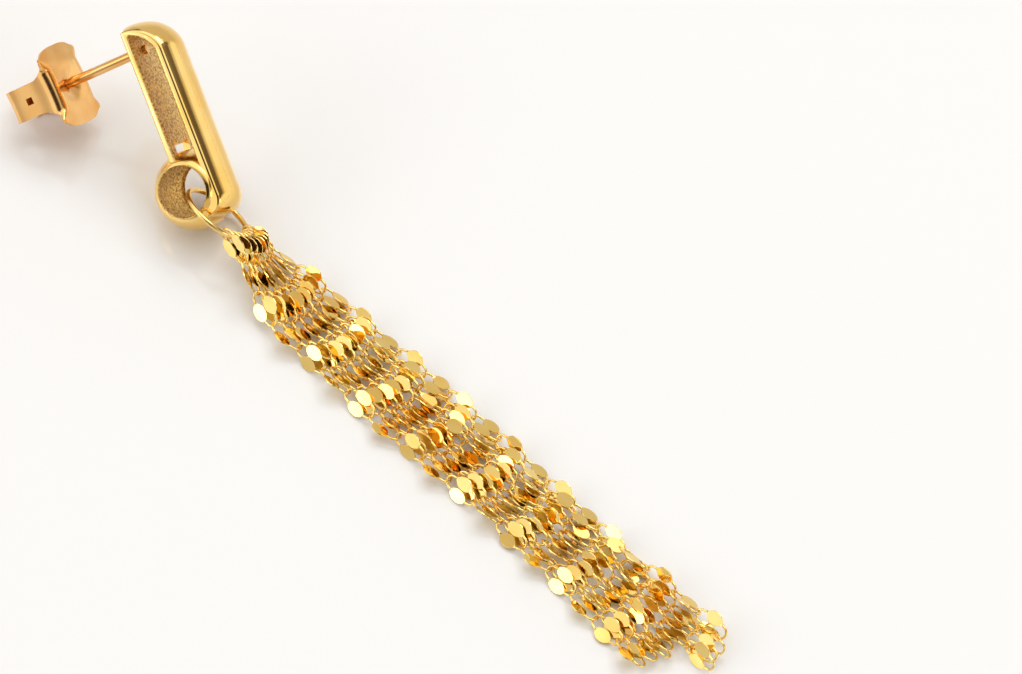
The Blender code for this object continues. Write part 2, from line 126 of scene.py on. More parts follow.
class EARRING_PG_head(bpy.types.PropertyGroup):
    """Sizes of the cast head and its post"""

    ball_radius: length("Ball radius", "Outer radius of the pierced ball", 3.57 * MM)
    ball_width: length("Ball width", "Width between the ball's two rims", 5.1 * MM)
    bore_radius: length("Bore radius", "Radius of the hole at the rims", 2.25 * MM)
    bore_undercut: length("Bore undercut", "How much wider the hole is inside", 0.6 * MM)
    bar_width: length("Bar width", "Width of the bar", 4.5 * MM)
    bar_top: length("Bar top", "From the ball's centre to the top of the bar", 14.87 * MM)
    bar_depth: length("Bar depth", "From the flat back to the front rim", 3.25 * MM)
    bar_crown: length("Bar crown", "How far the front swells", 0.78 * MM)
    back_wall: length("Back wall", "Thickness of the back wall", 0.65 * MM)
    front_wall: length("Front wall", "Thickness of the front wall at its rims", 0.62 * MM)
    top_wall: length("Top wall", "Thickness of the wall at the top", 0.52 * MM)
    back_offset: length("Back offset", "From the ball's centre plane to the back", 0.3 * MM)
    shoulder: length("Shoulder", "Length of the rounded top", 2.57 * MM)
    tongue_reach: length("Tongue reach", "How far the front runs past the ball's centre", 2.87 * MM)
    tongue_radius: length("Tongue radius", "Rounding of the front's lower end", 1.45 * MM)
    window_width: length("Window width", "Width of the slot in the back wall", 2.7 * MM)
    window_top: length("Window top", "From the ball's centre to the slot's end", 4.6 * MM)
    window_bulge: length("Window bulge", "How far the wall's rounded end runs on", 0.4 * MM)
    window_foot: length("Window foot", "From the ball's centre to the slot's foot", 3.0 * MM)
    wall_lap: length("Wall lap", "How far the bar runs into the ball's wall", 0.3 * MM)
    rim_round: length("Rim rounding", "Polished rounding of the rims", 0.15 * MM)
    post_radius: length("Post radius", "Radius of the ear post", 0.43 * MM)
    post_length: length("Post length", "Length of the ear post", 11.0 * MM)
    post_place: length("Post place", "From the ball's centre to the post", 12.97 * MM)
    post_stub: length("Post stub", "How far the post stands inside the bar", 0.25 * MM)


class EARRING_PG_clutch(bpy.types.PropertyGroup):
    """Sizes of the clutch"""

    place: length("Place", "From the bar's back to the plate", 7.3 * MM)
    twist: angle("Twist", "Turn of the clutch on its post", 7.0)
    sheet: length("Sheet", "Thickness of the sheet", 0.24 * MM)
    plate_length: length("Plate length", "Length over both lobes", 7.35 * MM)
    plate_half: length("Plate half width", "Half the width across the lobes", 2.55 * MM)
    arm_width: length("Arm width", "Width of the arms", 2.9 * MM)
    arm_depth: length("Arm depth", "How far behind the plate the arms turn", 4.3 * MM)
    curl_radius: length("Curl radius", "Radius of the arms' curls", 0.92 * MM)
    curl_return: length("Curl return", "How far the curled ends run back", 1.9 * MM)
    dish: length("Dish", "How far the plate's sides fall", 0.3 * MM)
    dimple_depth: length("Dimple depth", "Depth of the dimple round the hole", 0.55 * MM)
    dimple_radius: length("Dimple radius", "Radius of the dimple", 1.0 * MM)
    clearance: length("Clearance", "Running clearance on the post", 0.06 * MM)
    tab: length("Tab", "Side of the punched window in each arm", 0.62 * MM)
    tab_place: factor("Tab place", "Share of the arms' depth where the window is", 0.72)
    arm_clear: length("Arm clear", "Space left unpunched between the arms", 1.5 * MM)
    lean: angle("Lean", "Slant of the plate across the post", 9.3)
    bend: length("Bend", "Radius of the bend from the plate into an arm", 0.7 * MM)
    lobe: length("Lobe", "How far the lobes stand out beside the waist", 0.5 * MM)
    far_lobe: factor("Far lobe", "How much more the lobes stand out on the far side", 0.8)
    waist: length("Waist", "How far the plate draws in at its waist", 0.04 * MM)


class EARRING_PG_chain(bpy.types.PropertyGroup):
    """Sizes of the jump ring, the links and the strands"""

    jump_radius: length("Jump ring radius", "Radius of the jump ring at its wire's middle", 3.18 * MM)
    jump_wire: length("Jump ring wire", "Radius of the jump ring's wire", 0.235 * MM)
    link_length: length("Link length", "Outer length of a link", 3.6 * MM)
    link_width: length("Link width", "Outer width of a link", 2.45 * MM)
    link_pitch: length("Link pitch", "Distance between neighbouring links", 3.15 * MM)
    link_wire: length("Link wire", "Radius of a link's wire", 0.105 * MM)
    loop_half: length("Loop half width", "Half the width of a link's wire ends", 0.555 * MM)
    petal_length: length("Petal length", "Length of a pressed petal", 1.86 * MM)
    petal_gap: length("Petal gap", "Gap between a link's two petals", 0.03 * MM)
    petal_thickness: length("Petal thickness", "Half the thickness of a petal", 0.06 * MM)
    petal_tilt: angle("Petal tilt", "Largest twist of a petal in its link", 12.0)
    roll: angle("Roll", "Turn of every second link to the near side", 45.0)
    far_roll: angle("Far roll", "Turn of the links between them to the far side", 33.0)
    roll_spread: angle("Roll spread", "Random turn of a link at the loose end", 28.0)
    slack: factor("Slack", "Largest share of its length that a strand lies slack", 0.022)
    sway: factor("Sway", "Random slant of a link along its strand", 0.07)
    ring_clearance: length("Ring clearance", "Play of the first link on the jump ring", 0.14 * MM)
    attach_first: angle("First attachment", "Where the near strand hangs on the ring", -36.0)
    attach_last: angle("Last attachment", "Where the far strand hangs on the ring", 48.0)
    reach: length("Reach", "Length over which the bundle fans out", 56.0 * MM)
    drop: length("Drop", "Length over which a strand comes down", 8.0 * MM)
    settle: length("Settle", "Length over which a strand finds its lane", 9.0 * MM)
    wander: length("Wander", "How far a strand strays from its lane", 0.12 * MM)


class EARRING_PG_finish(bpy.types.PropertyGroup):
    """Colours and polish of the metals, and the painted shade in the pits of the cast gold"""

    yellow: colour("Yellow gold", "Polished gold of the head", (0.97, 0.69, 0.27))
    yellow_deep: colour("Deep yellow gold", "Warmer patches of the head", (0.91, 0.58, 0.16))
    peach: colour("Peach gold", "Gold of the post and the clutch", (0.91, 0.56, 0.22))
    peach_deep: colour("Deep peach gold", "Warmer patches of post and clutch", (0.84, 0.42, 0.12))
    pale: colour("Pale gold", "Mirror faces of the links", (1.00, 0.765, 0.28))
    pale_deep: colour("Deep pale gold", "Warmer patches of the links", (0.95, 0.62, 0.16))
    cast: colour("Cast gold", "Unpolished gold inside the head", (0.94, 0.63, 0.22))
    # Painted shade: a dark brown that stands for the shade in the cast skin's pits, not a colour of the gold.
    cast_pit_painted_shade: colour("Painted shade in cast pits", "Pits of the unpolished gold", (0.34, 0.15, 0.04))
    polish: factor("Polish", "Roughness of the polished metal", 0.07)


class EARRING_PG_stage(bpy.types.PropertyGroup):
    """Camera, table and lights"""

    azimuth: angle("Azimuth", "Camera direction round the earring", 46.05)
    elevation: angle("Elevation", "Camera height above the table", 57.5)
    lens: factor("Lens", "Focal length in millimetres", 500.0)
    view_width: length("View width", "Width of the view at the earring", 88.9 * MM)
    ball_across: factor("Ball across", "Photo column of the ball's centre, in pixels", 195.4)
    ball_down: factor("Ball down", "Photo row of the ball's centre, in pixels", 189.5)
    table: colour("Table", "Colour of the table", (0.96, 0.965, 0.97))
    room: colour("Room", "Colour of the room's light", (1.0, 0.99, 0.97))
    dim_room: colour("Dim room", "Colour of the light where the tent is dark", (1.0, 0.82, 0.62))
    room_light: factor("Room light", "Strength of the light tent", 0.69)


# Frame of the photo in pixels, the camera's sensor in millimetres, and the table
PHOTO_WIDTH = 1022.0
PHOTO_HEIGHT = 674.0
SENSOR_WIDTH = 36.0
NEAREST_SEEN = 0.01
TABLE_HALF = 1.5
TABLE_DROP = 0.02 * MM


def settings(name):
    """One of the scene's property groups."""
    return getattr(bpy.context.scene, "earring_" + name)


def smooth_step(share):
    """0 to 1 with level ends."""
    share = min(max(share, 0.0), 1.0)
    return share * share * (3.0 - 2.0 * share)


def head_frame():
    """The head's placement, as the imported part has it."""
    turn = Matrix.Rotation(HEAD_TURN, 4, "Z")
    slope = Matrix.Rotation(HEAD_SLOPE, 4, "Y")
    roll = Matrix.Rotation(HEAD_ROLL, 4, "X")
    return Matrix.Translation(jump_centre() - JUMP_OFFSET) @ turn @ slope @ roll


def jump_centre():
    """Centre of the jump ring, which is the middle of its box."""
    low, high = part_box("jump_ring")
    return (Vector(low) + Vector(high)) / 2.0


class Signal:
    """A shader socket that takes part in Python arithmetic."""

    def __init__(self, tree, socket=None):
        self.tree = tree
        self.socket = socket

    def node(self, kind, setup=None, inputs=None, output=0):
        """Adds a node, sets its options, then its inputs, and returns one of its outputs."""
        made = self.tree.nodes.new(kind)
        for name, value in (setup or {}).items():
            if name == "stops":
                fill_ramp(made.color_ramp, value)
            else:
                setattr(made, name, value)
        for name, value in (inputs or {}).items():
            if isinstance(value, Signal):
                self.tree.links.new(value.socket, made.inputs[name])
            else:
                made.inputs[name].default_value = value
        return Signal(self.tree, made.outputs[output] if made.outputs else None)

    def maths(self, operation, other, swapped=False):
        """A Math node on this value and another."""
        first, second = (other, self) if swapped else (self, other)
        return self.node("ShaderNodeMath", {"operation": operation}, {0: first, 1: second})

    def __add__(self, other):
        return self.maths("ADD", other)

    def __radd__(self, other):
        return self.maths("ADD", other, True)

    def __sub__(self, other):
        return self.maths("SUBTRACT", other)

    def __rsub__(self, other):
        return self.maths("SUBTRACT", other, True)

    def __mul__(self, other):
        return self.maths("MULTIPLY", other)


def fill_ramp(ramp, stops):
    """Sets a colour ramp's stops from (position, grey) pairs."""
    while len(ramp.elements) > 1:
        ramp.elements.remove(ramp.elements[-1])
    ramp.elements[0].position = stops[0][0]
    ramp.elements[0].color = (stops[0][1],) * 3 + (1.0,)
    for place, grey in stops[1:]:
        ramp.elements.new(place).color = (grey,) * 3 + (1.0,)


def noise(graph, place, scale, detail=3.0, rough=0.5):
    """A noise value over the surface."""
    return graph.node(
        "ShaderNodeTexNoise", None,
        {"Vector": place, "Scale": scale, "Detail": detail, "Roughness": rough},
    )


def metal(name, tint, deep, rough, grain_and_pit_shade=0.0):
    """Gold with uneven tone, faint polishing marks and, where its last argument is set, a pitted cast skin
    whose pits are darkened with painted shade.
    """
    material = bpy.data.materials.get(name)
    if material:
        return material
    material = bpy.data.materials.new(name)
    material.use_nodes = True
    tree = material.node_tree
    tree.nodes.clear()
    graph = Signal(tree)
    place = graph.node("ShaderNodeTexCoord", output=3)
    broad = noise(graph, place, BROAD_SCALE, 2.0)
    fine = noise(graph, place, FINE_SCALE, 4.0)
    tone = graph.node("ShaderNodeValToRGB", {"stops": ((0.35, 0.0), (0.68, 1.0))}, {"Fac": broad})
    shade = graph.node(
        "ShaderNodeMix", {"data_type": "RGBA"},
        {"Factor": tone, "A": (*tint, 1.0), "B": (*deep, 1.0)}, 2,
    )
    bump_height = broad * 0.35 + fine * (0.05 + 0.6 * grain_and_pit_shade)
    roughness = rough + fine * 0.05 + broad * 0.04
    if grain_and_pit_shade:
        # The cast skin's pits are real relief; the dark brown mixed into them is painted shade.
        pits = noise(graph, place, PIT_SCALE, 3.0, 0.7)
        pit_shade_mask = graph.node("ShaderNodeValToRGB", {"stops": ((0.40, 1.0), (0.56, 0.0))}, {"Fac": pits})
        painted_pit_shade = (*settings("finish").cast_pit_painted_shade, 1.0)
        shade = graph.node(
            "ShaderNodeMix", {"data_type": "RGBA"},
            {"Factor": pit_shade_mask * 0.9, "A": shade, "B": painted_pit_shade}, 2,
        )
        bump_height = bump_height + pits * grain_and_pit_shade
    relief = graph.node(
        "ShaderNodeBump", None,
        {"Strength": 0.12 + 0.8 * grain_and_pit_shade, "Distance": RELIEF_DEPTH, "Height": bump_height},
    )
    shader = graph.node(
        "ShaderNodeBsdfPrincipled", None,
        {"Base Color": shade, "Metallic": 1.0, "Roughness": roughness, "Normal": relief},
    )
    graph.node("ShaderNodeOutputMaterial", None, {"Surface": shader})
    return material


def finishes():
    """The metals of the earring by name."""
    tones = settings("finish")
    return {
        "yellow": metal("yellow_gold_polished", tones.yellow, tones.yellow_deep, tones.polish),
        "peach": metal("peach_gold_polished", tones.peach, tones.peach_deep, tones.polish + 0.06),
        "pale": metal("pale_gold_mirror", tones.pale, tones.pale_deep, tones.polish - 0.02),
        # The cast gold inside the head: a real pitted skin, with painted shade in its pits.
        "cast": metal("gold_as_cast", tones.cast, tones.yellow_deep, 0.24, 1.2),
    }


def add_skin(bm, rings, loop=False, inner=()):
    """Adds the skin through rings of points; columns named in inner get the second finish."""
    rows = [[bm.verts.new(point) for point in ring] for ring in rings]
    count = len(rows[0])
    pairs = list(zip(rows, rows[1:]))
    if loop:
        pairs.append((rows[-1], rows[0]))
    for row, following in pairs:
        for k in range(count):
            after = (k + 1) % count
            face = bm.faces.new((row[k], row[after], following[after], following[k]))
            face.material_index = 1 if k in inner else 0
    if not loop:
        bm.faces.new(reversed(rows[0]))
        bm.faces.new(rows[-1])


def finish_mesh(name, bm, materials, sharp=32.0):
    """Turns a bmesh into a smooth shaded mesh with its finishes."""
    bmesh.ops.recalc_face_normals(bm, faces=bm.faces)
    mesh = bpy.data.meshes.new(name)
    bm.to_mesh(mesh)
    bm.free()
    for material in materials:
        mesh.materials.append(material)
    mesh.shade_smooth()
    mesh.set_sharp_from_angle(angle=math.radians(sharp))
    return mesh


def add_object(name, mesh):
    """Links a new object at the origin."""
    item = bpy.data.objects.new(name, mesh)
    bpy.context.scene.collection.objects.link(item)
    return item


def spun(name, profile, materials, axis="z", steps=96):
    """A solid turned about an axis from (radius, height) pairs."""
    bm = bmesh.new()
    rings = []
    for radius, height in profile:
        ring = []
        for k in range(steps):
            turn = math.tau * (k + 0.5) / steps
            a = radius * math.cos(turn)
            b = radius * math.sin(turn)
            ring.append((a, b, height) if axis == "z" else (b, height, a))
        rings.append(ring)
    add_skin(bm, rings)
    return finish_mesh(name, bm, materials)


def settle(item, name, matrix=None, sharp=32.0):
    """The object's evaluated mesh as a new object at the origin; the old one goes."""
    bpy.context.view_layer.update()
    graph = bpy.context.evaluated_depsgraph_get()
    mesh = bpy.data.meshes.new_from_object(item.evaluated_get(graph))
    mesh.name = name
    bpy.data.objects.remove(item, do_unlink=True)
    if matrix:
        mesh.transform(matrix)
    mesh.shade_smooth()
    mesh.set_sharp_from_angle(angle=math.radians(sharp))
    return add_object(name, mesh)


def combined(name, base, tools, matrix, sharp=32.0):
    """A mesh cut by or joined with others, in order, as one object."""
    item = add_object(name + "_blank", base)
    helpers = []
    for operation, mesh in tools:
        helper = add_object(mesh.name + "_tool", mesh)
        helpers.append(helper)
        modifier = item.modifiers.new(mesh.name, "BOOLEAN")
        modifier.operation = operation
        modifier.solver = "EXACT"
        modifier.material_mode = "TRANSFER"
        modifier.object = helper
    made = settle(item, name, matrix, sharp)
    for helper in helpers:
        bpy.data.objects.remove(helper, do_unlink=True)
    return made


def shoulder(centre, reach, power, steps):
    """Points of a quarter turn from the -x side to the +y side."""
    points = []
    for k in range(steps + 1):
        turn = math.pi / 2.0 * k / steps
        across = math.cos(turn) ** (2.0 / power) if k < steps else 0.0
        up = math.sin(turn) ** (2.0 / power) if k else 0.0
        points.append((centre[0] - reach[0] * across, centre[1] + reach[1] * up))
    return points


# Bar: fullness of its top outside and inside, crown at the top, how it grows, and the tongue's turn
TOP_POWER = 1.8
INNER_TOP_POWER = 1.55
TOP_CROWN = 0.7
CROWN_GROWTH = 0.3
TONGUE_TURN = 100.0
TONGUE_FALL = 0.8
BALL_LAP_START = 28.0


def bar_outline(head, steps):
    """The bar's closed side outline as (x, y, crown share), and its first inner column."""
    back = -head.back_offset
    front = back + head.bar_depth
    inner_back = back + head.back_wall
    inner_front = front - head.front_wall
    lap = head.bore_radius + head.wall_lap
    outline = [(-lap, back, 0.0), (-head.bar_top, back, 0.0)]
    turn = (head.shoulder - head.bar_top, back + head.top_wall / 2.0)
    reach = (head.shoulder, front - turn[1])
    for k, (x, y) in enumerate(shoulder(turn, reach, TOP_POWER, steps)):
        growth = smooth_step((k + 1.0) / steps * 1.6)
        outline.append((x, y, TOP_CROWN + CROWN_GROWTH * growth))
    tongue = (head.tongue_reach - head.tongue_radius, front - head.tongue_radius)
    for k in range(steps):
        bend = math.radians(90.0 - TONGUE_TURN * k / (steps - 1.0))
        x = tongue[0] + head.tongue_radius * math.cos(bend)
        y = tongue[1] + head.tongue_radius * math.sin(bend)
        outline.append((x, y, 1.0 - TONGUE_FALL * k / (steps - 1.0)))
    first_inner = len(outline)
    begin = math.radians(BALL_LAP_START)
    meet = math.asin(min(inner_front / lap, 1.0))
    for k in range(steps):
        bend = begin + (math.pi - meet - begin) * k / (steps - 1.0)
        outline.append((lap * math.cos(bend), lap * math.sin(bend), 0.0))
    top = (head.shoulder - head.bar_top, inner_back)
    reach = (head.shoulder - head.top_wall, inner_front - inner_back)
    for x, y in reversed(shoulder(top, reach, INNER_TOP_POWER, steps)):
        outline.append((x, y, 0.0))
    outline.append((-lap, inner_back, 0.0))
    return outline, first_inner


def crowned(outline, share, inset, crown, across):
    """The outline at one place across the width, pushed out along its normals."""
    ring = []
    count = len(outline)
    for k, (x, y, weight) in enumerate(outline):
        before = outline[k - 1]
        after = outline[(k + 1) % count]
        run = Vector((after[0] - before[0], after[1] - before[1]))
        normal = Vector((-run.y, run.x)).normalized()
        push = crown * weight * share - inset
        ring.append((x + normal.x * push, y + normal.y * push, across))
    return ring


def bar_mesh(head, materials):
    """The bar: its outline carried across the width, with rounded rims."""
    outline, first_inner = bar_outline(head, 20)
    half = head.bar_width / 2.0
    crown = head.bar_crown
    arc = (half * half + crown * crown) / (2.0 * crown)
    inside = half - head.rim_round
    stations = []
    for k in range(4):
        bend = math.pi / 2.0 * k / 3.0
        across = -inside - head.rim_round * math.cos(bend)
        stations.append((across, head.rim_round * (1.0 - math.sin(bend))))
    stations += [(inside * (2.0 * k / 36.0 - 1.0), 0.0) for k in range(1, 36)]
    stations += [(-place, inset) for place, inset in reversed(stations[:4])]
    rings = []
    for across, inset in stations:
        rise = math.sqrt(arc * arc - across * across) - (arc - crown)
        rings.append(crowned(outline, rise / crown, inset, crown, across))
    bm = bmesh.new()
    add_skin(bm, rings, inner=range(first_inner, len(outline) - 1))
    return finish_mesh("bar", bm, materials)


def ball_mesh(head, materials):
    """The ball as a solid turned about its width, its rims rounded."""
    half = head.ball_width / 2.0
    rim = math.sqrt(head.ball_radius ** 2 - half ** 2)
    profile = [(rim - head.rim_round, -half)]
    for k in range(49):
        height = (half - head.rim_round * 0.6) * (k / 24.0 - 1.0)
        profile.append((math.sqrt(head.ball_radius ** 2 - height ** 2), height))
    profile.append((rim - head.rim_round, half))
    return spun("ball", profile, materials)


def bore_mesh(head, materials):
    """The hole through the ball, wider inside and flared at its rims."""
    half = head.ball_width / 2.0
    flare = head.rim_round
    side = []
    for k in range(4):
        bend = math.pi / 2.0 * k / 3.0
        radius = head.bore_radius + flare * (1.0 - math.sin(bend))
        side.append((radius, -half + flare * (1.0 - math.cos(bend))))
    profile = [(head.bore_radius + flare, -half - head.wall_lap)] + side
    for k in range(1, 32):
        share = k / 16.0 - 1.0
        radius = head.bore_radius + head.bore_undercut * math.sqrt(max(1.0 - share * share, 0.0))
        profile.append((radius, (half - flare) * share))
    profile += [(radius, -height) for radius, height in reversed(side)]
    profile.append((head.bore_radius + flare, half + head.wall_lap))
    return spun("bore", profile, materials)


def window_mesh(head, materials):
    """The slot between the ball and the rounded end of the back wall."""
    half = head.window_width / 2.0
    edge = []
    for k in range(25):
        share = k / 12.0 - 1.0
        edge.append((head.window_bulge * math.cos(math.pi / 2.0 * share) - head.window_top, half * share))
    corners = edge + [(-head.window_foot, half), (-head.window_foot, -half)]
    bm = bmesh.new()
    heights = (-head.back_offset - head.wall_lap, head.back_wall)
    add_skin(bm, [[(x, y, z) for x, z in corners] for y in heights])
    return finish_mesh("window", bm, materials)


class EARRING_OT_head(bpy.types.Operator):
    """Builds the polished head with its cast hollows"""

    bl_idname = "earring.build_head"
    bl_label = "Build Head"

    def execute(self, context):
        head = settings("head")
        metals = finishes()
        both = (metals["yellow"], metals["cast"])
        tools = (
            ("DIFFERENCE", window_mesh(head, (metals["yellow"],))),
            ("UNION", ball_mesh(head, (metals["yellow"],))),
            ("DIFFERENCE", bore_mesh(head, (metals["cast"],))),
        )
        made = combined("head_polished", bar_mesh(head, both), tools, head_frame())
        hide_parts("earring_head")
        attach(made, "earring")
        return {"FINISHED"}


# Solder seam of the post: reach along it, start of its swell, and how much wider it is there
SEAM = 0.16 * MM
SEAM_START = 1.06
SEAM_WIDTH = 1.32
POST_TIP_ROUND = 0.2 * MM


def post_profile(head):
    """The post's (radius, place) pairs from its rounded tip through the seam to its stub."""
    radius = head.post_radius
    back = -head.back_offset
    tip = back - head.post_length
    inner = back + head.back_wall + head.post_stub
    profile = []
    for k in range(6):
        bend = math.pi / 2.0 * k / 5.0
        width = radius * (0.25 + 0.75 * math.sin(bend))
        profile.append((width, tip + POST_TIP_ROUND * (1.0 - math.cos(bend))))
    profile.append((radius, back - SEAM * 1.6))
    profile.append((radius * SEAM_START, back - SEAM * 0.8))
    profile.append((radius * SEAM_WIDTH, back - 0.01 * MM))
    profile.append((radius * SEAM_WIDTH, back + 0.1 * MM))
    profile.append((radius, back + 0.12 * MM))
    profile.append((radius, inner - 0.06 * MM))
    profile.append((radius * 0.85, inner))
    return profile


class EARRING_OT_post(bpy.types.Operator):
    """Builds the ear post with its solder seam"""

    bl_idname = "earring.build_post"
    bl_label = "Build Ear Post"

    def execute(self, context):
        head = settings("head")
        mesh = spun("post", post_profile(head), (finishes()["peach"],), "y", 48)
        mesh.transform(Matrix.Translation((-head.post_place, 0.0, 0.0)))
        mesh.transform(head_frame())
        made = add_object("ear_post", mesh)
        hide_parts("earring_head")
        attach(made, "earring")
        return {"FINISHED"}


# Plate and bend of the clutch: place across or turn in degrees, share of the plate's half length
PLATE_WIDTHS = ((0.0, 1.0), (0.42, 0.996), (0.76, 0.955), (1.0, 0.86))
BEND_WIDTHS = ((30.0, 0.79), (60.0, 0.68), (90.0, 0.56))

# Where an arm narrows, as shares of its depth, and its first width as a share of the plate's half
ARM_ROOT = 0.26
ARM_ROOT_WIDTH = 0.46
ARM_START = 0.48
ARM_PINCH = 0.98

# Lobes: where they start in arm widths, how fast they stand out, and how level they stay
LOBE_START = 1.15
LOBE_RISE = 1.2
LOBE_LEVEL = 0.8


def clutch_path(clutch, post_radius):
    """Half of the sheet's bent path from the post outwards: (across, back, half width)."""
    plate = clutch.plate_length / 2.0
    arm = clutch.arm_width / 2.0
    half = clutch.plate_half
    bend = clutch.bend
    flat = half - bend
    path = [(flat * share, 0.0, plate * width) for share, width in PLATE_WIDTHS]
    for degrees, width in BEND_WIDTHS:
        turn = math.radians(degrees)
        path.append((flat + bend * math.sin(turn), bend * (math.cos(turn) - 1.0), plate * width))
    path.append((half, -ARM_ROOT * clutch.arm_depth, plate * ARM_ROOT_WIDTH))
    path.append((half * ARM_PINCH, -ARM_START * clutch.arm_depth, arm))
    gap = post_radius + clutch.clearance + clutch.sheet / 2.0
    centre = (gap + clutch.curl_radius, -clutch.arm_depth)
    for k in range(7):
        turn = -math.pi * k / 6.0
        across = centre[0] + clutch.curl_radius * math.cos(turn)
        path.append((across, centre[1] + clutch.curl_radius * math.sin(turn), arm))
    path.append((centre[0] - clutch.curl_radius, centre[1] + clutch.curl_return, arm))
    return path


def smooth_path(points, pieces):
    """The points joined by a smooth curve through them all."""
    vectors = [Vector(point) for point in points]
    made = []
    for k in range(len(vectors) - 1):
        before = vectors[max(k - 1, 0)]
        low = vectors[k]
        high = vectors[k + 1]
        after = vectors[min(k + 2, len(vectors) - 1)]
        for j in range(pieces):
            t = j / pieces
            square = 2.0 * before - 5.0 * low + 4.0 * high - after
            cube = 3.0 * low - before - 3.0 * high + after
            made.append(0.5 * (2.0 * low + (high - before) * t + square * t * t + cube * t ** 3))
    return made + [vectors[-1]]


def clutch_grid(clutch, post_radius, columns):
    """The sheet's middle surface as rows of points across its width."""
    half = clutch_path(clutch, post_radius)
    arm = clutch.arm_width / 2.0
    path = [(-a, b, w) for a, b, w in reversed(half[1:])] + half
    grid = []
    for across, back, width in smooth_path(path, 6):
        row = []
        for k in range(columns + 1):
            share = 2.0 * k / columns - 1.0
            x = width * share
            distance = math.hypot(x, across)
            dip = clutch.dimple_depth * math.exp(-(distance / clutch.dimple_radius) ** 2)
            dip = dip if back > -2.0 * clutch.dish else 0.0
            dip += clutch.dish * (x / clutch.plate_length * 2.0) ** 2
            on_plate = smooth_step(1.0 + back / clutch.bend)
            lobe = smooth_step((abs(x) / arm - LOBE_START) * LOBE_RISE)
            far = 1.0 + clutch.far_lobe * smooth_step(0.5 + across / clutch.plate_half)
            side = on_plate * smooth_step(abs(across) / clutch.plate_half)
            spread = clutch.lobe * far * lobe - clutch.waist * (1.0 - lobe)
            z = across + math.copysign(spread * side, across)
            lean = math.tan(clutch.lean) * across * smooth_step(1.0 + back / clutch.arm_depth)
            row.append(Vector((x, back * (1.0 - LOBE_LEVEL * lobe) - dip - lean, z)))
        grid.append(row)
    return grid


def sheet_mesh(name, grid, thickness, materials):
    """A sheet of metal thickened to both sides of its middle surface."""
    rows = len(grid)
    columns = len(grid[0])
    bm = bmesh.new()
    sides = ([], [])
    for i in range(rows):
        for j in range(columns):
            along = grid[min(i + 1, rows - 1)][j] - grid[max(i - 1, 0)][j]
            wide = grid[i][min(j + 1, columns - 1)] - grid[i][max(j - 1, 0)]
            normal = along.cross(wide).normalized() * (thickness / 2.0)
            sides[0].append(bm.verts.new(grid[i][j] + normal))
            sides[1].append(bm.verts.new(grid[i][j] - normal))
    upper, lower = sides
    for i in range(rows - 1):
        for j in range(columns - 1):
            a = i * columns + j
            b = a + columns
            bm.faces.new((upper[a], upper[a + 1], upper[b + 1], upper[b]))
            bm.faces.new((lower[a], lower[b], lower[b + 1], lower[a + 1]))
    rim = list(range(columns))
    rim += [i * columns + columns - 1 for i in range(1, rows)]
    rim += [(rows - 1) * columns + j for j in range(columns - 2, -1, -1)]
    rim += [i * columns for i in range(rows - 2, 0, -1)]
    for k, a in enumerate(rim):
        b = rim[(k + 1) % len(rim)]
        bm.faces.new((upper[b], upper[a], lower[a], lower[b]))
    return finish_mesh(name, bm, materials)


def box_mesh(name, low, high, materials):
    """A plain box used as a cutter."""
    bm = bmesh.new()
    bmesh.ops.create_cube(bm, size=1.0)
    for vertex in bm.verts:
        for k in range(3):
            middle = (low[k] + high[k]) / 2.0
            vertex.co[k] = middle + vertex.co[k] * (high[k] - low[k])
    return finish_mesh(name, bm, materials)


class EARRING_OT_clutch(bpy.types.Operator):
    """Builds the sheet-metal clutch with its punched windows"""

    bl_idname = "earring.build_clutch"
    bl_label = "Build Clutch"

    def execute(self, context):
        clutch = settings("clutch")
        head = settings("head")
        peach = (finishes()["peach"],)
        grid = clutch_grid(clutch, head.post_radius, 24)
        sheet = sheet_mesh("clutch_sheet", grid, clutch.sheet, peach)
        hole_radius = head.post_radius + clutch.clearance
        hole = spun("hole", [(hole_radius, -2.0 * MM), (hole_radius, MM)], peach, "y", 40)
        tab = clutch.tab / 2.0
        middle = -clutch.tab_place * clutch.arm_depth
        low = clutch.arm_clear
        high = clutch.plate_half * 1.5
        far = box_mesh("tab_far", (-tab, middle - tab, low), (tab, middle + tab, high), peach)
        near = box_mesh("tab_near", (-tab, middle - tab, -high), (tab, middle + tab, -low), peach)
        seat = (-head.post_place, -head.back_offset - clutch.place, 0.0)
        place = head_frame() @ Matrix.Translation(seat) @ Matrix.Rotation(clutch.twist, 4, "Y")
        tools = (("DIFFERENCE", hole), ("DIFFERENCE", far), ("DIFFERENCE", near))
        made = combined("clutch_polished", sheet, tools, place)
        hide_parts("butterfly_clutch")
        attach(made, "clutch")
        return {"FINISHED"}


def new_tree(name, inputs):
    """A geometry tree with a geometry input, named inputs and a geometry output."""
    tree = bpy.data.node_groups.new(name, "GeometryNodeTree")
    tree.interface.new_socket("Geometry", in_out="INPUT", socket_type="NodeSocketGeometry")
    for label, kind in inputs:
        tree.interface.new_socket(label, in_out="INPUT", socket_type="NodeSocket" + kind)
    tree.interface.new_socket("Geometry", in_out="OUTPUT", socket_type="NodeSocketGeometry")
    return tree, Signal(tree), tree.nodes.new("NodeGroupInput")


def end_tree(graph, geometry, material):
    """Ends a tree in real geometry with its finish."""
    real = graph.node("GeometryNodeRealizeInstances", None, {"Geometry": geometry})
    dressed = graph.node("GeometryNodeSetMaterial", None, {"Geometry": real, "Material": material})
    graph.node("NodeGroupOutput", None, {"Geometry": dressed})


def apply_tree(item, tree, values, name):
    """Runs the tree on the object with its inputs set, and keeps the plain mesh."""
    modifier = item.modifiers.new(tree.name, "NODES")
    modifier.node_group = tree
    for socket in tree.interface.items_tree:
        if socket.in_out == "INPUT" and socket.name in values:
            modifier[socket.identifier] = values[socket.name]
    return settle(item, name)


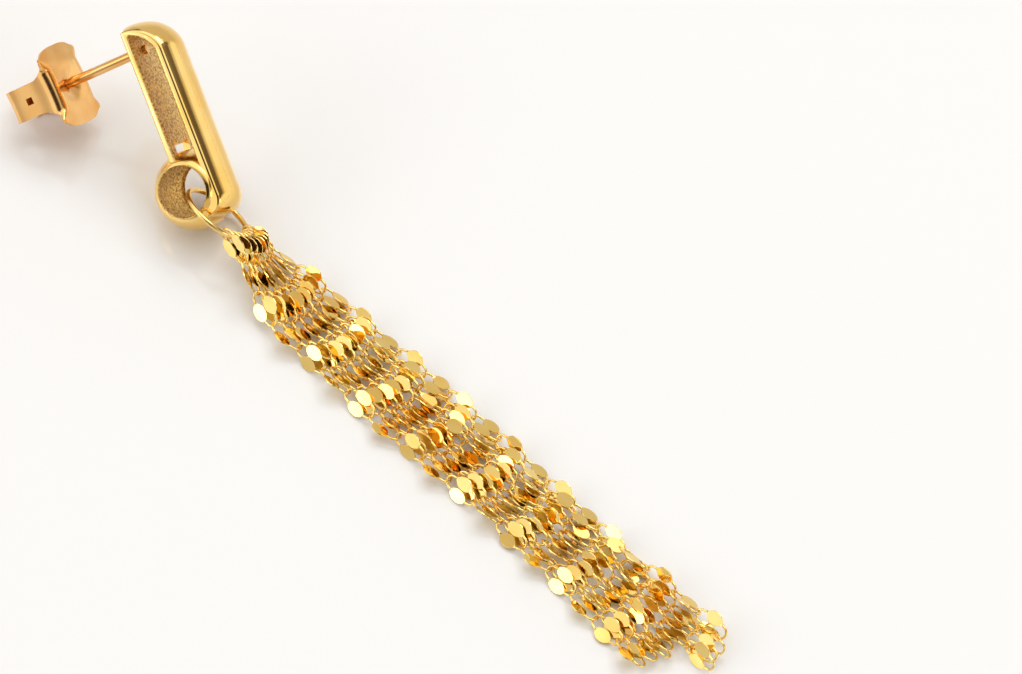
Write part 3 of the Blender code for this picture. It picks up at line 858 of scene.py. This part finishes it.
def ring_tree():
    """Geometry tree of a wire ring turned and placed."""
    inputs = (("Radius", "Float"), ("Wire", "Float"), ("Centre", "Vector"), ("Normal", "Vector"),
              ("Finish", "Material"))
    tree, graph, given = new_tree("wire_ring", inputs)
    read = {socket.name: Signal(tree, socket) for socket in given.outputs}
    path = graph.node(
        "GeometryNodeCurvePrimitiveCircle", None, {"Resolution": 128, "Radius": read["Radius"]}
    )
    wire = graph.node("GeometryNodeCurvePrimitiveCircle", None, {"Resolution": 20, "Radius": read["Wire"]})
    swept = graph.node("GeometryNodeCurveToMesh", None, {"Curve": path, "Profile Curve": wire})
    turn = graph.node(
        "FunctionNodeAlignRotationToVector", {"axis": "Z"}, {"Vector": read["Normal"]}
    )
    placed = graph.node(
        "GeometryNodeTransform", None,
        {"Geometry": swept, "Translation": read["Centre"], "Rotation": turn},
    )
    end_tree(graph, placed, read["Finish"])
    return tree


class EARRING_OT_jump_ring(bpy.types.Operator):
    """Builds the round jump ring"""

    bl_idname = "earring.build_jump_ring"
    bl_label = "Build Jump Ring"

    def execute(self, context):
        chain = settings("chain")
        blank = add_object("ring_blank", bpy.data.meshes.new("ring_blank"))
        values = {
            "Radius": chain.jump_radius,
            "Wire": chain.jump_wire,
            "Centre": tuple(jump_centre()),
            "Normal": tuple(JUMP_NORMAL),
            "Finish": finishes()["yellow"],
        }
        made = apply_tree(blank, ring_tree(), values, "jump_ring_polished")
        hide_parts("jump_ring")
        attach(made, "earring")
        return {"FINISHED"}


# Petal: places along its half where it is cut, fullness of its sides, and how square it is pressed
PETAL_SHARES = (1.0, 0.95, 0.87, 0.76, 0.62, 0.44, 0.22)
PETAL_POINT = 1.9
PETAL_FULLNESS = 0.68
PRESSED_WIDE = 1.32
PRESSED_HIGH = 1.5


def link_sections(chain):
    """A link's loop: along, across, half width, half thickness and how flat it is pressed."""
    wire = chain.link_wire
    bend = chain.loop_half
    begin = chain.link_length / 2.0 - wire - bend
    petal = (chain.link_width - chain.petal_gap) / 4.0
    middle = chain.petal_gap / 2.0 + petal
    reach = chain.petal_length / 2.0
    quarter = []
    for k in range(7):
        turn = math.radians(7.0 + 83.0 * k / 6.0)
        quarter.append((begin + bend * math.cos(turn), bend * math.sin(turn), wire, wire, 0.0))
    quarter.append(((begin + reach) / 2.0, (bend + middle) / 2.0, wire, wire, 0.0))
    for share in PETAL_SHARES:
        flat = smooth_step((1.02 - share) / 0.12)
        width = max(wire, petal * (1.0 - share ** PETAL_POINT) ** PETAL_FULLNESS)
        thick = wire + (chain.petal_thickness - wire) * flat
        quarter.append((reach * share, middle, width, thick, flat))
    half = quarter + [(-x, *rest) for x, *rest in reversed(quarter)]
    return half + [(-x, -y, *rest) for x, y, *rest in half]


def pressed(turn, flat):
    """A point of a round section, squared off as far as the wire is pressed flat."""
    a = math.cos(turn)
    b = math.sin(turn)
    wide = math.copysign(min(abs(a) * PRESSED_WIDE, 1.0), a)
    high = math.copysign(min(abs(b) * PRESSED_HIGH, 1.0), b)
    return a + (wide - a) * flat, b + (high - b) * flat


def link_mesh(name, chain, tilts, material):
    """One link with its wire ends and two pressed petals, each with its own twist."""
    sections = link_sections(chain)
    count = len(sections)
    upright = Vector((0.0, 0.0, 1.0))
    rings = []
    for k, (x, y, half_width, half_thickness, flat) in enumerate(sections):
        before = sections[k - 1]
        after = sections[(k + 1) % count]
        run = Vector((after[0] - before[0], after[1] - before[1], 0.0)).normalized()
        out = Vector((run.y, -run.x, 0.0))
        tilt = (tilts[0] if y > 0.0 else tilts[1]) * flat
        wide = out * math.cos(tilt) + upright * math.sin(tilt)
        high = upright * math.cos(tilt) - out * math.sin(tilt)
        ring = []
        for j in range(12):
            a, b = pressed(math.tau * (j + 0.5) / 12.0, flat)
            ring.append(Vector((x, y, 0.0)) + wide * (half_width * a) + high * (half_thickness * b))
        rings.append(ring)
    bm = bmesh.new()
    add_skin(bm, rings, loop=True)
    return finish_mesh(name, bm, (material,), 40.0)


def jump_axes():
    """Two directions in the jump ring's plane: outwards and down its far side."""
    out = Vector((1.0, 0.0, 0.0))
    out = (out - JUMP_NORMAL * out.dot(JUMP_NORMAL)).normalized()
    return out, JUMP_NORMAL.cross(out)


def bundle_at(share):
    """Middle of the bundle and its lane spacing, eased between the rows of BUNDLE."""
    share = min(max(share, 0.0), 1.0)
    for low, high in zip(BUNDLE, BUNDLE[1:]):
        if share <= high[0]:
            ease = smooth_step((share - low[0]) / (high[0] - low[0]))
            middle = low[1] + (high[1] - low[1]) * ease
            return middle, low[2] + (high[2] - low[2]) * ease
    return BUNDLE[-1][1], BUNDLE[-1][2]


# Route of a strand: steps, spare length, and the length and shift of its sideways wave
ROUTE_STEPS = 400
ROUTE_SPARE = 1.1
WAVE_LENGTH = 5.0 * MM
WAVE_SHIFT = 2.1


def strand_route(chain, index):
    """Closely spaced points of a strand's path, each with the direction its row lies in."""
    last = len(LINKS_IN_STRAND) - 1
    centre = jump_centre()
    turn = chain.attach_first + (chain.attach_last - chain.attach_first) * index / last
    out, down = jump_axes()
    start = centre + (out * math.cos(turn) + down * math.sin(turn)) * chain.jump_radius
    wire = down * math.cos(turn) - out * math.sin(turn)
    level = Vector((0.0, 1.0, 0.0))
    lane = index - last / 2.0
    surface = centre.z - settings("head").ball_radius - JUMP_OFFSET.z
    lie = surface + chain.link_width / 2.0 * math.sin(chain.roll)
    lie += chain.petal_thickness * math.cos(chain.roll)
    table_shift = centre.xy - JUMP_OFFSET.xy
    route = []
    for k in range(ROUTE_STEPS + 1):
        run = chain.reach * ROUTE_SPARE * k / ROUTE_STEPS
        middle, spacing = bundle_at(run / chain.reach)
        stray = smooth_step(run / (3.0 * chain.settle))
        stray *= chain.wander * math.sin(run / WAVE_LENGTH + WAVE_SHIFT * index)
        settled = smooth_step(run / chain.settle)
        y = start.y + (table_shift.y + middle + lane * spacing + stray - start.y) * settled
        fall = max(1.0 - run / (2.0 * chain.drop), 0.0) ** 3.0
        place = Vector((start.x + run, y, lie + (start.z - lie) * fall))
        route.append((place, wire.lerp(level, settled)))
    return route


def route_object(route):
    """The strand's path as a mesh line that holds each point's row direction."""
    mesh = bpy.data.meshes.new("route")
    steps = [(k, k + 1) for k in range(len(route) - 1)]
    mesh.from_pydata([tuple(place) for place, _ in route], steps, [])
    rows = mesh.attributes.new("row", "FLOAT_VECTOR", "POINT")
    rows.data.foreach_set("vector", [value for _, row in route for value in row])
    return add_object("route", mesh)


def chain_tree():
    """Geometry tree that strings links along a path, each turned from its neighbour."""
    inputs = (
        ("Forms", "Collection"), ("Last Form", "Int"), ("Links", "Int"), ("First", "Float"),
        ("Pitch", "Float"), ("Roll", "Float"), ("Far Roll", "Float"), ("Spread", "Float"),
        ("Sway", "Float"), ("Half Width", "Float"), ("Seed", "Int"), ("Finish", "Material"),
    )
    tree, graph, given = new_tree("link_chain", inputs)
    read = {socket.name: Signal(tree, socket) for socket in given.outputs}
    path = graph.node("GeometryNodeMeshToCurve", None, {"Mesh": read["Geometry"]})
    row = graph.node("GeometryNodeInputNamedAttribute", {"data_type": "FLOAT_VECTOR"}, {"Name": "row"})
    index = graph.node("GeometryNodeInputIndex")
    distance = index * read["Pitch"] + read["First"]
    sampler = {"mode": "LENGTH", "data_type": "FLOAT_VECTOR", "use_all_curves": True}
    sampled = {"Curves": path, "Value": row, "Length": distance}
    found = graph.node("GeometryNodeSampleCurve", sampler, sampled).socket.node
    outputs = {socket.name: Signal(tree, socket) for socket in found.outputs if socket.enabled}
    parity = index.maths("MODULO", 2.0)
    share = index.maths("DIVIDE", read["Links"])
    spread = read["Spread"] * (share * 0.65 + 0.35)
    jitter = graph.node(
        "FunctionNodeRandomValue", {"data_type": "FLOAT"},
        {"ID": index, "Seed": read["Seed"], 2: -1.0, 3: 1.0}, 1,
    )
    roll = parity * read["Far Roll"] * -1.0 + (1.0 - parity) * read["Roll"] + jitter * spread
    first = index.maths("LESS_THAN", 0.5)
    roll = roll * (1.0 - first) + first * (math.pi / 2.0)
    slant = graph.node(
        "FunctionNodeRandomValue", {"data_type": "FLOAT_VECTOR"},
        {"ID": index, "Seed": read["Seed"], 0: (-1.0, -1.0, -0.6), 1: (1.0, 1.0, 0.6)},
    )
    slant = graph.node(
        "ShaderNodeVectorMath", {"operation": "SCALE"}, {0: slant, "Scale": read["Sway"] * share}
    )
    along = graph.node("ShaderNodeVectorMath", {"operation": "ADD"}, {0: outputs["Tangent"], 1: slant})
    across = graph.node(
        "ShaderNodeVectorRotate", {"rotation_type": "AXIS_ANGLE"},
        {"Vector": outputs["Value"], "Axis": along, "Angle": roll},
    )
    turn = graph.node(
        "FunctionNodeAxesToRotation", {"primary_axis": "X", "secondary_axis": "Y"},
        {"Primary Axis": along, "Secondary Axis": across},
    )
    rise = roll.maths("SINE", 0.0).maths("ABSOLUTE", 0.0) - read["Roll"].maths("SINE", 0.0)
    rise = rise * read["Half Width"] * (1.0 - first) * share.maths("MINIMUM", 1.0)
    lift = graph.node("ShaderNodeCombineXYZ", None, {"Z": rise})
    places = graph.node("GeometryNodePoints", None, {"Count": read["Links"], "Position": outputs["Position"]})
    places = graph.node("GeometryNodeSetPosition", None, {"Geometry": places, "Offset": lift})
    forms = graph.node(
        "GeometryNodeCollectionInfo", None,
        {"Collection": read["Forms"], "Separate Children": True, "Reset Children": True},
    )
    pick = graph.node(
        "FunctionNodeRandomValue", {"data_type": "INT"},
        {"ID": index, "Seed": read["Seed"] + 7.0, 4: 0, 5: read["Last Form"]}, 2,
    )
    strung = graph.node(
        "GeometryNodeInstanceOnPoints", None,
        {"Points": places, "Instance": forms, "Pick Instance": True,
         "Instance Index": pick, "Rotation": turn},
    )
    end_tree(graph, strung, read["Finish"])
    return tree


# How slack each strand lies, as a share of the most
SLACK_SHARES = (0.5, 0.8, 0.55, 1.2, 0.5, 0.9, 0.6, 1.1)

# Twists of a link's far and near petal, as shares of the largest, one pair for each form
TWISTS = ((0.1, -0.2), (0.7, -0.5), (-0.8, 0.3), (-0.3, 1.0), (1.0, 0.6), (-0.6, -0.9))


class EARRING_OT_strands(bpy.types.Operator):
    """Strings the eight strands of mirror links"""

    bl_idname = "earring.build_strands"
    bl_label = "Build Strands"

    def execute(self, context):
        chain = settings("chain")
        pale = finishes()["pale"]
        forms = bpy.data.collections.new("link_forms")
        links_made = []
        for k, (far, near) in enumerate(TWISTS):
            tilts = (far * chain.petal_tilt, near * chain.petal_tilt)
            name = "link_form_{}".format(k + 1)
            links_made.append(add_object(name, link_mesh(name, chain, tilts, pale)))
            forms.objects.link(links_made[-1])
        tree = chain_tree()
        first = chain.link_length / 2.0 - 2.0 * chain.link_wire
        first -= chain.jump_wire + chain.ring_clearance
        for index, links in enumerate(LINKS_IN_STRAND):
            values = {
                "Forms": forms,
                "Last Form": len(TWISTS) - 1,
                "Links": links,
                "First": first,
                "Pitch": chain.link_pitch * (1.0 - chain.slack * SLACK_SHARES[index]),
                "Roll": chain.roll,
                "Far Roll": chain.far_roll,
                "Spread": chain.roll_spread,
                "Sway": chain.sway,
                "Half Width": chain.link_width / 2.0,
                "Seed": index + 3,
                "Finish": pale,
            }
            name = "strand_{}".format(index + 1)
            made = apply_tree(route_object(strand_route(chain, index)), tree, values, name + "_links")
            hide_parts(name)
            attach(made, "earring")
        for link in links_made:
            bpy.data.objects.remove(link, do_unlink=True)
        bpy.data.collections.remove(forms)
        return {"FINISHED"}


def table_material(tint):
    """The glossy pale table."""
    material = bpy.data.materials.new("glossy_table")
    material.use_nodes = True
    tree = material.node_tree
    tree.nodes.clear()
    graph = Signal(tree)
    place = graph.node("ShaderNodeTexCoord", output=3)
    roughness = 0.10 + noise(graph, place, 60.0) * 0.06
    shader = graph.node(
        "ShaderNodeBsdfPrincipled", None,
        {"Base Color": (*tint, 1.0), "Roughness": roughness, "IOR": 1.6},
    )
    graph.node("ShaderNodeOutputMaterial", None, {"Surface": shader})
    return material


def soft_light(name, azimuth, elevation, size, power, tint):
    """An area light that faces the middle of the table."""
    light = bpy.data.lights.new(name, "AREA")
    light.shape = "RECTANGLE"
    light.size = size[0]
    light.size_y = size[1]
    light.energy = power
    light.color = tint
    item = add_object(name, light)
    away = toward(math.radians(azimuth), math.radians(elevation))
    item.location = away * SOFT_BOX_DISTANCE
    item.rotation_euler = away.to_track_quat("Z", "Y").to_euler()
    return item


# Soft boxes, all at one distance: name, azimuth, elevation, width and height, power, colour
SOFT_BOX_DISTANCE = 1.80
SOFT_BOXES = (
    ("key_behind", 188.0, 50.0, (0.80, 0.60), 4.6, (1.0, 0.99, 0.97)),
    ("near_low", -32.0, 24.0, (0.80, 0.42), 2.4, (1.0, 0.98, 0.94)),
    ("right_side", 105.0, 26.0, (0.60, 0.40), 1.6, (1.0, 1.0, 1.0)),
)

# Panels of the light tent: azimuth, elevation, half width and half height, added light
TENT_PANELS = (
    (200.0, 68.0, 38.0, 26.0, 0.75),
    (-75.0, 35.0, 20.0, 18.0, 0.45),
    (130.0, 12.0, 40.0, 11.0, 0.45),
    (-20.0, 30.0, 34.0, 16.0, 0.45),
)

# Dark flags of the light tent: azimuth, elevation, half width and half height, light taken
TENT_FLAGS = (
    (143.0, 41.0, 24.0, 13.0, 0.80),
    (38.0, 53.0, 24.0, 17.0, 0.94),
    (-105.0, 14.0, 16.0, 9.0, 0.75),
    (20.0, 8.0, 26.0, 8.0, 0.60),
)


def toward(azimuth, elevation):
    """The direction at an azimuth and an elevation, both in radians."""
    level = math.cos(elevation)
    return Vector((math.sin(azimuth) * level, -math.cos(azimuth) * level, math.sin(elevation)))


def panel(graph, look, azimuth, elevation, half_width, half_height):
    """1 where a direction meets a soft-edged panel of the tent, else 0."""
    middle = toward(math.radians(azimuth), math.radians(elevation))
    right = Vector((middle.y, -middle.x, 0.0)).normalized()
    up = middle.cross(right)
    facing = graph.node("ShaderNodeVectorMath", {"operation": "DOT_PRODUCT"}, {0: look, 1: middle}, 1)
    facing = facing.maths("MAXIMUM", 0.001)
    mask = facing.maths("GREATER_THAN", 0.01)
    for axis, half in ((right, half_width), (up, half_height)):
        across = graph.node("ShaderNodeVectorMath", {"operation": "DOT_PRODUCT"}, {0: look, 1: axis}, 1)
        across = across.maths("DIVIDE", facing).maths("ABSOLUTE", 0.0)
        edge = math.tan(math.radians(half))
        mask = mask * graph.node(
            "ShaderNodeMapRange", {"interpolation_type": "SMOOTHSTEP"},
            {"Value": across, "From Min": edge * 1.15, "From Max": edge * 0.85},
        )
    return mask


def tent_world(stage):
    """The light tent: pale walls, brighter panels and a dark opening round the camera."""
    world = bpy.data.worlds.new("light_tent")
    world.use_nodes = True
    tree = world.node_tree
    tree.nodes.clear()
    graph = Signal(tree)
    look = graph.node("ShaderNodeTexCoord")
    light = 0.0
    for azimuth, elevation, half_width, half_height, power in TENT_PANELS:
        light = panel(graph, look, azimuth, elevation, half_width, half_height) * power + light
    light = light + stage.room_light
    for azimuth, elevation, half_width, half_height, taken in TENT_FLAGS:
        light = light * (1.0 - panel(graph, look, azimuth, elevation, half_width, half_height) * taken)
    tone = graph.node(
        "ShaderNodeMix", {"data_type": "RGBA"},
        {"Factor": light.maths("MINIMUM", 1.0), "A": (*stage.dim_room, 1.0), "B": (*stage.room, 1.0)}, 2,
    )
    background = graph.node("ShaderNodeBackground", None, {"Color": tone, "Strength": light})
    graph.node("ShaderNodeOutputWorld", None, {"Surface": background})
    return world


class EARRING_OT_stage(bpy.types.Operator):
    """Sets the camera, the table and the soft light"""

    bl_idname = "earring.build_stage"
    bl_label = "Build Stage"

    def execute(self, context):
        stage = settings("stage")
        ball = jump_centre() - JUMP_OFFSET
        turn = stage.azimuth
        tilt = stage.elevation
        back = toward(turn, tilt)
        right = Vector((math.cos(turn), math.sin(turn), 0.0))
        up = back.cross(right)
        pixel = stage.view_width / PHOTO_WIDTH
        aim = ball + right * ((PHOTO_WIDTH / 2.0 - stage.ball_across) * pixel)
        aim = aim - up * ((PHOTO_HEIGHT / 2.0 - stage.ball_down) * pixel)
        camera = bpy.data.cameras.new("camera")
        camera.sensor_width = SENSOR_WIDTH
        camera.lens = stage.lens
        camera.clip_start = NEAREST_SEEN
        item = add_object("camera", camera)
        item.location = aim + back * (stage.view_width * stage.lens / SENSOR_WIDTH)
        item.rotation_euler = back.to_track_quat("Z", "Y").to_euler()
        context.scene.camera = item
        low = CAD_BOX[0]
        bm = bmesh.new()
        bmesh.ops.create_grid(bm, x_segments=1, y_segments=1, size=TABLE_HALF)
        mesh = finish_mesh("table", bm, (table_material(stage.table),))
        mesh.transform(Matrix.Translation((0.0, 0.0, low[2] - TABLE_DROP)))
        table = add_object("table", mesh)
        for box in SOFT_BOXES:
            soft_light(*box)
        context.scene.world = tent_world(stage)
        context.scene.view_settings.view_transform = "Standard"
        return {"FINISHED"}


STEPS = (
    EARRING_OT_stage,
    EARRING_OT_head,
    EARRING_OT_post,
    EARRING_OT_clutch,
    EARRING_OT_jump_ring,
    EARRING_OT_strands,
)

GROUPS = {
    "head": EARRING_PG_head,
    "clutch": EARRING_PG_clutch,
    "chain": EARRING_PG_chain,
    "finish": EARRING_PG_finish,
    "stage": EARRING_PG_stage,
}


class EARRING_PT_panel(bpy.types.Panel):
    """Lists the earring's sizes and its build steps"""

    bl_idname = "EARRING_PT_panel"
    bl_label = "Dangle Earring"
    bl_space_type = "VIEW_3D"
    bl_region_type = "UI"
    bl_category = "Earring"

    def draw(self, context):
        layout = self.layout
        for name, group in GROUPS.items():
            box = layout.box()
            box.label(text=name.capitalize())
            for key in group.__annotations__:
                box.prop(settings(name), key)
        for step in STEPS:
            layout.operator(step.bl_idname)


def register():
    """Registers the settings, the operators and the panel."""
    for group in GROUPS.values():
        bpy.utils.register_class(group)
    for name, group in GROUPS.items():
        setattr(bpy.types.Scene, "earring_" + name, bpy.props.PointerProperty(type=group))
    for step in STEPS:
        bpy.utils.register_class(step)
    bpy.utils.register_class(EARRING_PT_panel)


def unregister():
    """Takes back what register made."""
    bpy.utils.unregister_class(EARRING_PT_panel)
    for step in reversed(STEPS):
        bpy.utils.unregister_class(step)
    for name, group in GROUPS.items():
        delattr(bpy.types.Scene, "earring_" + name)
        bpy.utils.unregister_class(group)


def main():
    """Builds the earring and its stage."""
    register()
    bpy.ops.earring.build_stage()
    bpy.ops.earring.build_head()
    bpy.ops.earring.build_post()
    bpy.ops.earring.build_clutch()
    bpy.ops.earring.build_jump_ring()
    bpy.ops.earring.build_strands()


if __name__ == "__main__":
    main()
